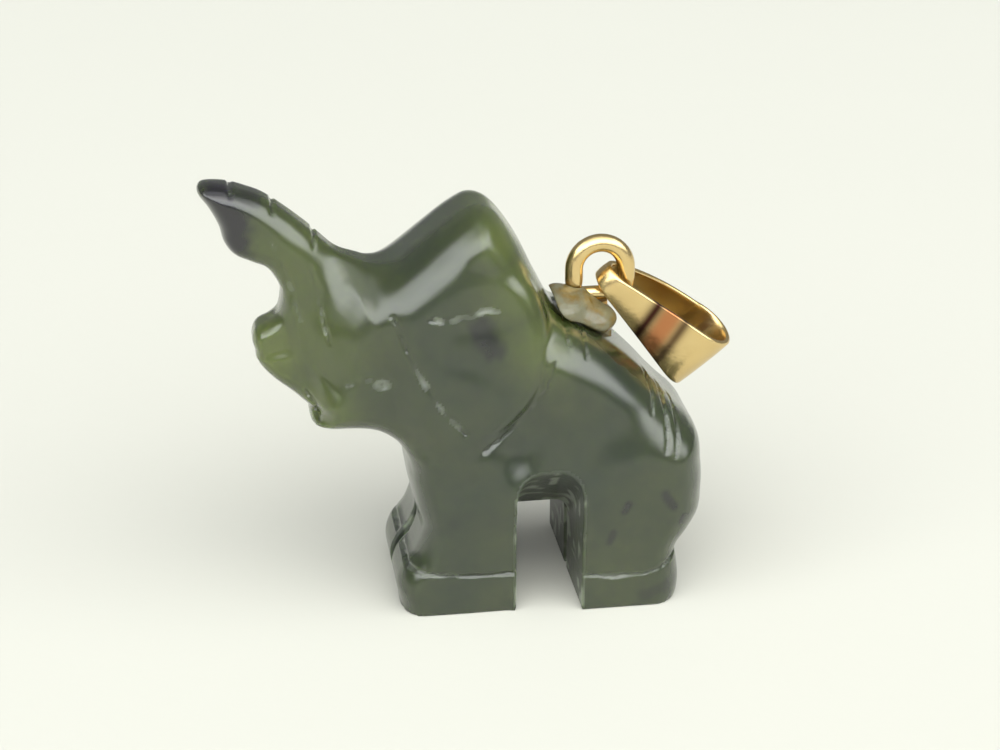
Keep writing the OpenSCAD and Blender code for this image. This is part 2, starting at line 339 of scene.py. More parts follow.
class Stone:
    """The carved elephant as a field in drawn mm, and the marks that its making left on it."""

    ring_x = 5.0
    seat = (4.2, 13.9)
    seat_slope = math.radians(30)
    arch_x = 2.1
    arch_half = 1.65
    arch_height = 4.3
    arch_corner = 0.7
    keel_half = 0.9
    belly_slope = math.radians(40)
    slot_half = 0.4
    slot_height = 5.4
    hole_radius = 0.65
    hole_foot = 9.3
    seat_radius = 1.6
    sole = 0.02
    # Half widths of each part across the elephant
    trunk_half, web_half, lip_half, head_half = 1.72, 1.45, 1.6, 3.75
    ear_half, body_half, front_half, hind_half = 4.62, 4.8, 4.6, 5.1

    def __init__(self, chip_depth):
        self.chip_depth = chip_depth
        drawn = (TRUNK, WEB, LIP, HEAD, EAR, BODY, FRONT_LEGS, HIND_LEGS)
        self.outlines = [Outline(points) for points in drawn]

    def rough(self, x, y, z):
        """The blocked-out stone, before engraving and sawing."""
        side = np.abs(y)
        trunk, web, lip, head, ear, body, front, hind = (outline(x, z) for outline in self.outlines)
        # The trunk's upper edge is rounded off further than its lower one
        above = smoothstep((z - 16.6) + 0.8 * (x + 10), -1.2, 0.8)
        trunk_reach = 0.45 + above * (0.35 + 0.5 * smoothstep(x, -13, -10) + 1.0 * smoothstep(x, -9.6, -7.4))
        shape = pillow(trunk, side, self.trunk_half - 0.07 * np.maximum(-x - 10, 0), 1.35, trunk_reach)
        shape = blend_on(shape, pillow(web, side, self.web_half, 1.1, 0.5), 0.6)
        shape = blend_on(shape, pillow(lip, side, self.lip_half, 1.1, 0.7), 0.3)
        head_reach = 0.9 + 0.9 * smoothstep(z, 10.5, 14) + 0.5 * smoothstep(-x, 4.5, 7)
        skull = pillow(head, side, self.head_half, 3.0, head_reach)
        shape = blend_on(shape, skull, 1.7)
        # The body is thinner where the ear covers it
        behind_ear = (1 - smoothstep(x, 1, 3.2)) * smoothstep(z, 4.5, 11.5)
        torso = pillow(body, side, self.body_half - 0.75 * behind_ear, 3.4, 2.2)
        torso = blend_on(torso, pillow(front, side, self.front_half, 1.8, 1.1), 1.0)
        haunch = pillow(hind, side, self.hind_half - 0.3 * smoothstep(z, 3.6, 8.6), 2.2, 1.4)
        torso = blend_on(torso, haunch, 2.0)
        shape = blend_on(shape, torso, 0.8)
        # Each ear is a plate that is dished in its middle and lies flush with the head at its top
        dish = 0.87 * smoothstep(z, 10.8, 18.2)
        dish = dish + 0.1 * np.exp(-((x + 0.7) ** 2 / 5.5 + (z - 13.3) ** 2 / 5.0))
        plate = pillow(ear, side, self.ear_half - dish, 1.3, 1.1)
        return blend_on(shape, plate, 1.3 - 1.15 * smoothstep(x, -3.5, 0.5))

    def arch(self, x, y, z):
        """The opening sawn from side to side, negative inside it."""
        out = np.maximum(np.abs(y) - self.keel_half, 0)
        corner = self.arch_corner + 0.15 * out
        a = np.abs(x - self.arch_x) - self.arch_half + corner
        b = (z - self.arch_height - out * math.tan(self.belly_slope)) * math.cos(self.belly_slope) + corner
        return np.minimum(np.maximum(a, b), 0) + np.hypot(np.maximum(a, 0), np.maximum(b, 0)) - corner

    def slot(self, x, y, z):
        """The saw cuts between the left and right legs, negative inside them."""
        outside = -(np.abs(x - self.arch_x) - self.arch_half + self.slot_half)
        return np.maximum(np.maximum(np.abs(y) - self.slot_half, z - self.slot_height), outside)

    def drilled(self, x, y, z):
        """The flat ground on the back and the hole for the peg, negative inside them."""
        dx, dz = x - self.seat[0], z - self.seat[1]
        up = dx * math.sin(self.seat_slope) + dz * math.cos(self.seat_slope)
        along = dx * math.cos(self.seat_slope) - dz * math.sin(self.seat_slope)
        flat = np.maximum(-up, np.hypot(along, y) - self.seat_radius)
        hole = np.maximum(np.hypot(x - self.ring_x, y) - self.hole_radius, self.hole_foot - z)
        return np.minimum(flat, hole)

    def engraving(self, x, y, z):
        """Depth cut away by the engraved lines, and how white each cut is."""
        chips = cloud(x, y, z, 0.42, 5)
        ragged = 1 + self.chip_depth * chips
        face = smoothstep(np.abs(y), 0.5, 0.9)
        near = smoothstep(-y, 1.0, 1.6)
        depth = 0.0
        white = 0.0
        for table, mask in ((LINES, face), (NEAR_LINES, near)):
            for route, width, deep, frost in table:
                away = stroke(route, x, z) + 0.05 * cloud(x, y, z, 0.9, 11)
                cut = profile(away, width) * mask
                depth = np.maximum(depth, deep * cut * ragged)
                broken = smoothstep(cloud(x, y, z, 1.0, 61), -0.35, 0.15)
                white = np.maximum(white, frost * np.sqrt(cut) * smoothstep(chips, -0.6, 0.4) * broken)
        for route, width, deep in HOLLOWS:
            soft = np.exp(-(2.4 * stroke(route, x, z) / width) ** 2)
            depth = depth + deep * soft * smoothstep(np.abs(y), 2.0, 3.0)
        for tx, tz in NOTCHES:
            run = [(tx - 0.28, tz - 1.0), (tx + 0.02, tz + 0.5)]
            cut = profile(stroke(run, x, z), 0.32) * (1 - smoothstep(np.abs(y), 0.9, 1.5))
            depth = np.maximum(depth, 0.12 * cut)
            frost = 0.25 * cut * smoothstep(np.abs(y), 0.3, 0.9) * smoothstep(chips, -0.6, 0.4)
            white = np.maximum(white, frost)
        eye = np.abs(np.hypot((x - EYE[0]) / 1.5, z - EYE[1]) - 0.16)
        cut = profile(eye, 0.3) * smoothstep(np.abs(y), 1.5, 2.5)
        depth = np.maximum(depth, 0.1 * cut)
        white = np.maximum(white, 0.75 * cut)
        return depth, white

    def __call__(self, x, y, z):
        shape = self.rough(x, y, z)
        x, y, z = np.broadcast_arrays(x, y, z)
        skin_deep = np.abs(shape) < 0.5
        near = [a[skin_deep] for a in (x, y, z)]
        uneven = 0.02 * cloud(*near, 2.6, 3) + 0.005 * cloud(*near, 0.9, 4)
        shape[skin_deep] += uneven + self.engraving(*near)[0]
        cuts = np.minimum(self.arch(x, y, z), self.slot(x, y, z))
        shape = np.maximum(shape, -cuts)
        shape = np.maximum(shape, -self.drilled(x, y, z))
        return np.maximum(shape, self.sole - z)

    def marks(self, x, y, z):
        """How frosted, sawn, painted lighter where light comes through and inked the stone is at each place,
        from 0 to 1. The sawn share also paints shade into the colour.
        """
        white = self.engraving(x, y, z)[1]
        cuts = np.minimum(self.arch(x, y, z), self.slot(x, y, z))
        # Where the arch and slot were sawn; the material also paints these faces darker, as painted shade
        # inside the opening
        sawn = smoothstep(-cuts, -0.1, -0.03)
        # The saw left small chips along the edges of its cuts
        chipped = np.exp(-(cuts / 0.1) ** 2) * smoothstep(cloud(x, y, z, 0.5, 71), 0.1, 0.5)
        white = np.maximum(white, 0.7 * chipped)
        # Painted light: the colour is made lighter and greener where light comes through the thin stone
        painted_glow = np.zeros(x.shape)
        for gx, gz, reach, strength in PAINTED_LIGHT_PLACES:
            painted_glow = np.maximum(painted_glow, strength * np.exp(-((x - gx) ** 2 + (z - gz) ** 2) / reach ** 2))
        ink = np.zeros(x.shape)
        ragged = 0.35 * cloud(x, y, z, 0.7, 21) + 0.2 * cloud(x, y, z, 0.3, 22)
        for route, width, strength in INCLUSIONS:
            away = stroke(route, x, z) + 0.35 * width * ragged
            ink = np.maximum(ink, strength * (1 - smoothstep(away, 0.2 * width, 0.62 * width)))
        return {"frost": white, "sawn": sawn, "painted_glow": painted_glow, "ink": ink}


@functools.cache
def drawn_stone(chip_depth):
    """The stone with lines that ragged, worked out once."""
    return Stone(chip_depth)


# ---------------------------------------------------------------- materials


def colour(hex_code):
    """A linear colour from an sRGB hex value."""
    values = [int(hex_code[i:i + 2], 16) / 255 for i in (1, 3, 5)]
    return [v / 12.92 if v <= 0.04045 else ((v + 0.055) / 1.055) ** 2.4 for v in values] + [1.0]


def add(tree, kind, inputs=None, **settings):
    """Adds a node with its settings and inputs. An input is a number or vector, an sRGB hex colour, a socket,
    or a node, whose first output is then linked."""
    node = tree.nodes.new(kind)
    for name, value in settings.items():
        setattr(node, name, value)
    for name, value in (inputs or {}).items():
        if isinstance(value, bpy.types.Node):
            value = value.outputs[0]
        if isinstance(value, bpy.types.NodeSocket):
            tree.links.new(value, node.inputs[name])
        else:
            node.inputs[name].default_value = colour(value) if isinstance(value, str) else value
    return node


# The Mix node's sockets for colours
SHARE, FIRST, SECOND, MIXED = 0, 6, 7, 2


def new_material(name):
    """An empty material, a function that adds nodes to it, and the place on the piece."""
    material = bpy.data.materials.new(name)
    material.use_nodes = True
    material.node_tree.nodes.clear()
    node = functools.partial(add, material.node_tree)
    return material, node, node("ShaderNodeTexCoord").outputs["Object"]


def polished_nephrite(settings):
    """Nephrite jade, carved with a wheel and polished: waxy and dark olive, painted lighter and greener where
    light gets through the thin stone.
    The cuts are left unpolished and look white; sawn faces are dull, and painted darker for the shade inside
    the arch and slot."""
    material, node, place = new_material("polished_nephrite_jade")
    marks = {
        name: node("ShaderNodeAttribute", attribute_name=name).outputs["Fac"]
        for name in ("frost", "sawn", "painted_glow", "ink")
    }
    clouds, fibres, smear, chips, ripple = (
        node("ShaderNodeTexNoise", {"Vector": place, "Scale": 1 / size, "Detail": detail, "Roughness": rough})
        for size, detail, rough in (
            (5 * MM, 3.0, 0.55), (0.5 * MM, 5.0, 0.7), (1.6 * MM, 4.0, 0.55), (0.14 * MM, 3.0, 0.55),
            (1.1 * MM, 2.0, 0.55),
        )
    )
    # Saw scratches run up and down the sawn faces, about 0.15 mm apart
    stretched = node("ShaderNodeMapping", {"Vector": place, "Scale": (6.5, 6.5, 1.2)})
    scratches = node(
        "ShaderNodeTexNoise", {"Vector": stretched, "Scale": 1 / (1 * MM), "Detail": 3.0, "Roughness": 0.7})
    stone = "#1B2717"
    for low, high, hex_code in ((0.3, 0.5, settings.stone_hex), (0.5, 0.72, "#353E1E")):
        share = node("ShaderNodeMapRange", {"Value": clouds, "From Min": low, "From Max": high})
        stone = node("ShaderNodeMix", {SHARE: share, FIRST: stone, SECOND: hex_code},
                     data_type="RGBA").outputs[MIXED]
    for mark, strength, hex_code in (
        # The first colour is painted light where light comes through the thin stone
        (marks["painted_glow"], 1.0, settings.painted_light_hex), (fibres, 0.25, "#1B2419"), (marks["ink"], 1.0, "#0D0B12"),
        # The sawn faces are painted darker: painted shade inside the arch and slot
        (marks["sawn"], 0.4, "#23271F"), (marks["frost"], 0.7, "#8D9484"),
    ):
        share = node("ShaderNodeMath", {0: mark, 1: strength}, operation="MULTIPLY")
        stone = node("ShaderNodeMix", {SHARE: share, FIRST: stone, SECOND: hex_code},
                     data_type="RGBA").outputs[MIXED]
    frosted = node("ShaderNodeMath", {0: marks["frost"], 1: 0.8}, operation="MULTIPLY")
    dull = node("ShaderNodeMath", {0: marks["sawn"], 1: frosted}, operation="MAXIMUM")
    waxy = node("ShaderNodeMath", {0: smear, 1: 0.08, 2: 0.2}, operation="MULTIPLY_ADD")
    rough = node("ShaderNodeMath", {0: dull, 1: 0.4, 2: waxy}, operation="MULTIPLY_ADD")
    height = 0.0
    for pattern, depth, where in (
        (scratches, 0.05 * MM, marks["sawn"]), (chips, 0.05 * MM, marks["frost"]), (ripple, 0.004 * MM, 1.0),
    ):
        deep = node("ShaderNodeMath", {0: where, 1: depth}, operation="MULTIPLY")
        height = node("ShaderNodeMath", {0: pattern, 1: deep, 2: height}, operation="MULTIPLY_ADD")
    shader = node("ShaderNodeBsdfPrincipled", {
        "IOR": 1.61, "Subsurface Weight": 1.0, "Subsurface Scale": settings.light_reach,
        "Subsurface Radius": (0.75, 1.0, 0.42), "Coat Weight": 0.5, "Coat Roughness": 0.2,
        "Base Color": stone, "Roughness": rough,
        "Normal": node("ShaderNodeBump", {"Strength": 1.0, "Distance": 1.0, "Height": height}),
    })
    node("ShaderNodeOutputMaterial", {"Surface": shader})
    return material


def polished_gold(settings, name="cast_gold_polished", rough=0.22):
    """18 carat gold, cast and tumbled: a deep yellow mirror with fine scratches and small dents."""
    material, node, place = new_material(name)
    stretched = node("ShaderNodeMapping", {"Vector": place, "Scale": (1.0, 1.0, 5.0)})
    patches, scratches, dents = (
        node("ShaderNodeTexNoise", {"Vector": where, "Scale": 1 / size, "Detail": detail, "Roughness": grain})
        for where, size, detail, grain in (
            (place, 1.3 * MM, 4.0, 0.55), (stretched, 0.35 * MM, 4.0, 0.65), (place, 0.7 * MM, 2.0, 0.55),
        )
    )
    tone = settings.gold_hex
    # Painted reflection on the bail's front leaf: a copper-orange band between two dark brown-violet bands,
    # painted into the gold's colour
    for share, hex_code in (
        (patches, "#E2CA93"),
        (node("ShaderNodeAttribute", attribute_name="painted_reflection").outputs["Fac"], "#B87C52"),
        (node("ShaderNodeAttribute", attribute_name="painted_reflection_dark").outputs["Fac"], "#3A1C18"),
    ):
        tone = node("ShaderNodeMix", {SHARE: share, FIRST: tone, SECOND: hex_code},
                     data_type="RGBA").outputs[MIXED]
    fine = node("ShaderNodeMath", {0: scratches, 1: 0.0022 * MM}, operation="MULTIPLY")
    height = node("ShaderNodeMath", {0: dents, 1: 0.016 * MM, 2: fine}, operation="MULTIPLY_ADD")
    shader = node("ShaderNodeBsdfPrincipled", {
        "Metallic": 1.0, "Base Color": tone,
        "Roughness": node(
            "ShaderNodeMath", {0: scratches, 1: 0.16, 2: rough - 0.06}, operation="MULTIPLY_ADD"),
        "Normal": node("ShaderNodeBump", {"Strength": 1.0, "Distance": 1.0, "Height": height}),
    })
    node("ShaderNodeOutputMaterial", {"Surface": shader})
    return material


def set_resin(settings):
    """Epoxy cement, smeared on and set: cloudy grey-white with amber pools, glossy, with a few bubbles."""
    material, node, place = new_material("epoxy_cement")
    pools, bubbles = (
        node("ShaderNodeTexNoise", {"Vector": place, "Scale": 1 / size, "Detail": 3.0, "Roughness": 0.55})
        for size in (1.1 * MM, 0.3 * MM)
    )
    share = node("ShaderNodeMapRange", {"Value": pools, "From Min": 0.36, "From Max": 0.56})
    tone = node("ShaderNodeMix", {SHARE: share, FIRST: settings.amber_hex, SECOND: settings.resin_hex},
                data_type="RGBA").outputs[MIXED]
    height = node("ShaderNodeMath", {0: bubbles, 1: 0.03 * MM}, operation="MULTIPLY")
    shader = node("ShaderNodeBsdfPrincipled", {
        "IOR": 1.55, "Roughness": 0.24, "Subsurface Weight": 0.6, "Subsurface Scale": 0.5 * MM,
        "Subsurface Radius": (1.0, 0.8, 0.5), "Transmission Weight": 0.45, "Base Color": tone,
        "Normal": node("ShaderNodeBump", {"Strength": 1.0, "Distance": 1.0, "Height": height}),
    })
    node("ShaderNodeOutputMaterial", {"Surface": shader})
    return material


def matt_table(settings):
    """A matt painted table top: pale, warm and even, with a very fine tooth."""
    material, node, place = new_material("matt_painted_table")
    patches, tooth = (
        node("ShaderNodeTexNoise", {"Vector": place, "Scale": 1 / size, "Detail": 4.0, "Roughness": 0.55})
        for size in (60 * MM, 0.8 * MM)
    )
    share = node("ShaderNodeMath", {0: patches, 1: 0.35}, operation="MULTIPLY")
    tone = node("ShaderNodeMix", {SHARE: share, FIRST: settings.floor_hex, SECOND: "#C6C5BC"},
                data_type="RGBA").outputs[MIXED]
    height = node("ShaderNodeMath", {0: tooth, 1: 0.02 * MM}, operation="MULTIPLY")
    shader = node("ShaderNodeBsdfPrincipled", {
        "Roughness": 0.75, "Base Color": tone,
        "Normal": node("ShaderNodeBump", {"Strength": 0.5, "Distance": 1.0, "Height": height}),
    })
    node("ShaderNodeOutputMaterial", {"Surface": shader})
    return material


# ---------------------------------------------------------------- making pieces


def make_piece(name, points, faces, material, body, node, marks=None):
    """A smooth mesh piece from points in metres, riding on its body and standing for its CAD node."""
    mesh = bpy.data.meshes.new(name)
    mesh.from_pydata(points.tolist(), [], faces.tolist())
    mesh.shade_smooth()
    mesh.materials.append(material)
    for mark, values in (marks or {}).items():
        attribute = mesh.attributes.new(mark, "FLOAT", "POINT")
        attribute.data.foreach_set("value", np.clip(values, 0, 1).astype(np.float32))
    piece = bpy.data.objects.new(name, mesh)
    bpy.context.scene.collection.objects.link(piece)
    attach(piece, body)
    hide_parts(node)
    return piece


def from_drawing(points):
    """Drawn mm to metres in the frame, with the drawing fitted to the stone's box."""
    scale = [(stone_high[k] - stone_low[k]) / (DRAWN_HIGH[k] - DRAWN_LOW[k]) for k in range(3)]
    return (points - np.array(DRAWN_LOW)) * scale + np.array(stone_low)


def tube_faces(rings, around):
    """Quads between closed rings of points, with the last ring joined to the first."""
    i, j = np.meshgrid(np.arange(rings), np.arange(around), indexing="ij")
    k, n = (i + 1) % rings, (j + 1) % around
    return np.stack([i * around + j, k * around + j, k * around + n, i * around + n], -1).reshape(-1, 4)


def arc(centre, radius, start, end, steps):
    """Points on an arc in a plane, from one angle in degrees to another."""
    turns = np.radians(np.linspace(start, end, steps))
    return np.stack([centre[0] + radius * np.cos(turns), centre[1] + radius * np.sin(turns)], 1)


def even_steps(route, count):
    """A closed route walked in that many equal steps."""
    closed = np.vstack([route, route[:1]])
    walked = np.concatenate([[0], np.cumsum(np.linalg.norm(np.diff(closed, axis=0), axis=1))])
    places = np.arange(count) / count * walked[-1]
    return np.stack([np.interp(places, walked, closed[:, k]) for k in (0, 1)], 1)


def outward(route):
    """The unit normal in the plane at each point of a closed route, to the right of its direction."""
    along = np.roll(route, -1, 0) - np.roll(route, 1, 0)
    along /= np.linalg.norm(along, axis=1, keepdims=True)
    return np.stack([along[:, 1], -along[:, 0]], 1)


class StoneSettings(bpy.types.PropertyGroup):
    """Sizes and colours of the carved stone"""

    cell: bpy.props.FloatProperty(
        name="Carving Detail", description="Size of the facets that the carving is made of",
        default=0.13 * MM, min=0.08 * MM, max=0.5 * MM, precision=5, unit="LENGTH")
    chip_depth: bpy.props.FloatProperty(
        name="Chipping", description="How ragged the engraved lines are",
        default=0.7, min=0, max=1, subtype="FACTOR")
    light_reach: bpy.props.FloatProperty(
        name="Light Reach", description="How far light gets into the stone",
        default=0.9 * MM, min=0.1 * MM, max=5 * MM, precision=5, unit="LENGTH")
    stone_hex: bpy.props.StringProperty(
        name="Stone Colour", description="sRGB colour of the thick stone", default="#29331A")
    # The colour painted as light coming through the thin stone
    painted_light_hex: bpy.props.StringProperty(
        name="Thin Stone Colour", description="sRGB colour where light comes through", default="#566027")


class GoldSettings(bpy.types.PropertyGroup):
    """Sizes and colours of the ring, peg and bail"""

    gold_hex: bpy.props.StringProperty(
        name="Gold Colour", description="sRGB colour of the gold", default="#D6B97F")
    strip: bpy.props.FloatProperty(
        name="Strip Thickness", description="Thickness of the bail's strip",
        default=0.28 * MM, min=0.1 * MM, max=0.5 * MM, precision=5, unit="LENGTH")
    tip_width: bpy.props.FloatProperty(
        name="Narrow Width", description="Width of the strip at the narrow fold",
        default=1.0 * MM, min=0.5 * MM, max=2 * MM, precision=5, unit="LENGTH")
    end_width: bpy.props.FloatProperty(
        name="Wide Width", description="Width of the strip at the wide fold",
        default=3.5 * MM, min=1 * MM, max=5 * MM, precision=5, unit="LENGTH")
    bail_length: bpy.props.FloatProperty(
        name="Bail Length", description="Length of the folded bail",
        default=7.7 * MM, min=5.5 * MM, max=9 * MM, precision=5, unit="LENGTH")
    tip_inside: bpy.props.FloatProperty(
        name="Narrow Radius", description="Radius inside the narrow fold",
        default=0.675 * MM, min=0.5 * MM, max=1 * MM, precision=6, unit="LENGTH")
    end_inside: bpy.props.FloatProperty(
        name="Wide Radius", description="Radius inside the wide fold",
        default=1.35 * MM, min=1 * MM, max=2 * MM, precision=5, unit="LENGTH")


class CementSettings(bpy.types.PropertyGroup):
    """Colours of the cement"""

    resin_hex: bpy.props.StringProperty(
        name="Cement Colour", description="sRGB colour of the cloudy cement", default="#8A876A")
    amber_hex: bpy.props.StringProperty(
        name="Pool Colour", description="sRGB colour of the clear pools", default="#866B2E")


class StageSettings(bpy.types.PropertyGroup):
    """The table, the lights and the camera"""

    floor_hex: bpy.props.StringProperty(
        name="Table Colour", description="sRGB colour of the table", default="#CDCCC3")
    azimuth: bpy.props.FloatProperty(
        name="Azimuth", description="Angle of the camera round the charm",
        default=math.radians(-8.5), subtype="ANGLE")
    elevation: bpy.props.FloatProperty(
        name="Elevation", description="Angle of the camera above the table",
        default=math.radians(23), subtype="ANGLE")
    distance: bpy.props.FloatProperty(
        name="Distance", description="Distance from the camera to the charm",
        default=110 * MM, min=50 * MM, max=1, unit="LENGTH")


class CHARM_OT_elephant(bpy.types.Operator):
    """Carve the jade elephant"""

    bl_idname = "charm.elephant"
    bl_label = "Carve Elephant"

    def execute(self, context):
        settings = context.scene.charm_stone
        stone = drawn_stone(settings.chip_depth)
        margin = np.array([0.5, 0.5, 0.3])
        points, faces = carve(
            stone, np.array(DRAWN_LOW) - margin, np.array(DRAWN_HIGH) + margin, settings.cell / MM)
        if len(points) == 0:
            raise RuntimeError("the carving came out empty")
        marks = stone.marks(*points.T)
        low, high = points.min(0), points.max(0)
        fitted = (points - low) / (high - low) * (np.array(DRAWN_HIGH) - DRAWN_LOW) + np.array(DRAWN_LOW)
        make_piece("jade_elephant", from_drawing(fitted), faces, polished_nephrite(settings),
                   "carving", "elephant", marks)
        return {"FINISHED"}


class CHARM_OT_eye_ring(bpy.types.Operator):
    """Make the gold eye ring: a round wire bent to a D, with a thinner bar across its foot"""

    bl_idname = "charm.eye_ring"
    bl_label = "Make Eye Ring"

    # Radius of the D's corners, and the height over which the wire thins to the bar
    corner = 0.42 * MM
    taper = 0.8 * MM

    def execute(self, context):
        wire = (ring_high.y - ring_low.y) / 2
        radius = (ring_high.x - ring_low.x) / 2 - wire
        middle = Vector(((ring_high.x + ring_low.x) / 2, 0, ring_high.z - wire - radius))
        bar_wire = BAR_SHARE * wire
        foot = ring_low.z + wire - middle.z
        corner = self.corner
        route = np.vstack([
            arc((0, 0), radius, 180, 0, 40),
            arc((radius - corner, foot + corner), corner, 0, -90, 10),
            arc((corner - radius, foot + corner), corner, -90, -180, 10),
        ])
        route = even_steps(route, 120)
        normals = -outward(route)
        thick = bar_wire + (wire - bar_wire) * smoothstep(route[:, 1], foot, foot + self.taper)
        turns = np.linspace(0, 2 * math.pi, 28, endpoint=False)
        points = []
        for place, normal, r in zip(route, normals, thick):
            for turn in turns:
                out = r * math.cos(turn)
                points.append((place[0] + normal[0] * out, r * math.sin(turn), place[1] + normal[1] * out))
        points = np.array(points) + np.array(middle)
        dents = 0.008 * MM * cloud(*(points / MM).T, 0.8, 31)
        points[:, 1] += dents * np.sign(points[:, 1])
        make_piece("gold_eye_ring", points, tube_faces(len(route), len(turns)),
                   bpy.data.materials["cast_gold_polished"], "carving", "eye_ring")
        return {"FINISHED"}


class CHARM_OT_peg(bpy.types.Operator):
    """Give the peg in the stone its finish"""

    bl_idname = "charm.peg"
    bl_label = "Finish Peg"

    def execute(self, context):
        peg = frame["nodes"]["peg"]
        peg.data.materials.clear()
        peg.data.materials.append(polished_gold(context.scene.charm_gold, "drawn_gold_wire", 0.3))
        return {"FINISHED"}


class CHARM_OT_cement(bpy.types.Operator):
    """Smear the cement round the foot of the ring and fill the hole"""

    bl_idname = "charm.cement"
    bl_label = "Smear Cement"

    # Lumps in drawn mm: the middle and the half sizes of each, the main mound first
    lumps = (
        ((3.8, -0.1, 14.2), (1.5, 1.5, 0.85)), ((3.75, -0.2, 14.95), (0.65, 0.8, 0.65)),
        ((2.9, -0.9, 14.7), (0.9, 1.2, 0.7)), ((4.7, -0.5, 13.9), (0.9, 1.0, 0.5)),
        ((2.7, -0.4, 15.1), (0.5, 0.8, 0.6)),
    )
    low, high, cell = (1.6, -2.2, 9.0), (6.6, 2.2, 16.4), 0.075
    film = 0.02
    peg_radius = 0.4
    sleeve_top = 14.2

    def execute(self, context):
        stone = drawn_stone(context.scene.charm_stone.chip_depth)
        wire = (ring_high.y - ring_low.y) / 2 / MM
        radius = (ring_high.x - ring_low.x) / 2 / MM - wire
        ring_z = (ring_high.z / MM) - wire - radius
        bar_z = ring_low.z / MM + wire
        peg_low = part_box("peg")[0].z / MM

        def metal(x, y, z):
            """Distance to the ring's wire, its bar and the peg."""
            dx = x - stone.ring_x
            arch = np.hypot(np.hypot(dx, np.maximum(z - ring_z, 0)) - radius, y) - wire
            arch = np.where(z < bar_z, 9.0, arch)
            bar = np.maximum(np.hypot(y, z - bar_z) - BAR_SHARE * wire, np.abs(dx) - radius)
            peg = np.maximum(np.hypot(dx, y) - self.peg_radius, peg_low - z)
            peg = np.maximum(peg, z - bar_z)
            return np.minimum(np.minimum(arch, bar), peg)

        def field(x, y, z):
            """The cement, negative inside it, kept a film's thickness clear of the stone and the metal."""
            shape = None
            for middle, halves in self.lumps:
                q = np.sqrt(sum(((a - m) / h) ** 2 for a, m, h in zip((x, y, z), middle, halves)))
                lump = (q - 1) * min(halves)
                shape = lump if shape is None else blend_on(shape, lump, 0.8)
            shape = shape + 0.03 * cloud(x, y, z, 0.6, 41)
            sleeve = np.hypot(x - stone.ring_x, y) - stone.hole_radius + self.film
            sleeve = np.maximum(sleeve, stone.hole_foot + self.film - z)
            shape = blend_on(shape, np.maximum(sleeve, z - self.sleeve_top), 0.05)
            shape = np.maximum(shape, self.film - stone(x, y, z))
            return np.maximum(shape, self.film - metal(x, y, z))

        points, faces = carve(field, np.array(self.low), np.array(self.high), self.cell)
        make_piece("epoxy_cement", from_drawing(points), faces, set_resin(context.scene.charm_cement),
                   "carving", "cement")
        return {"FINISHED"}


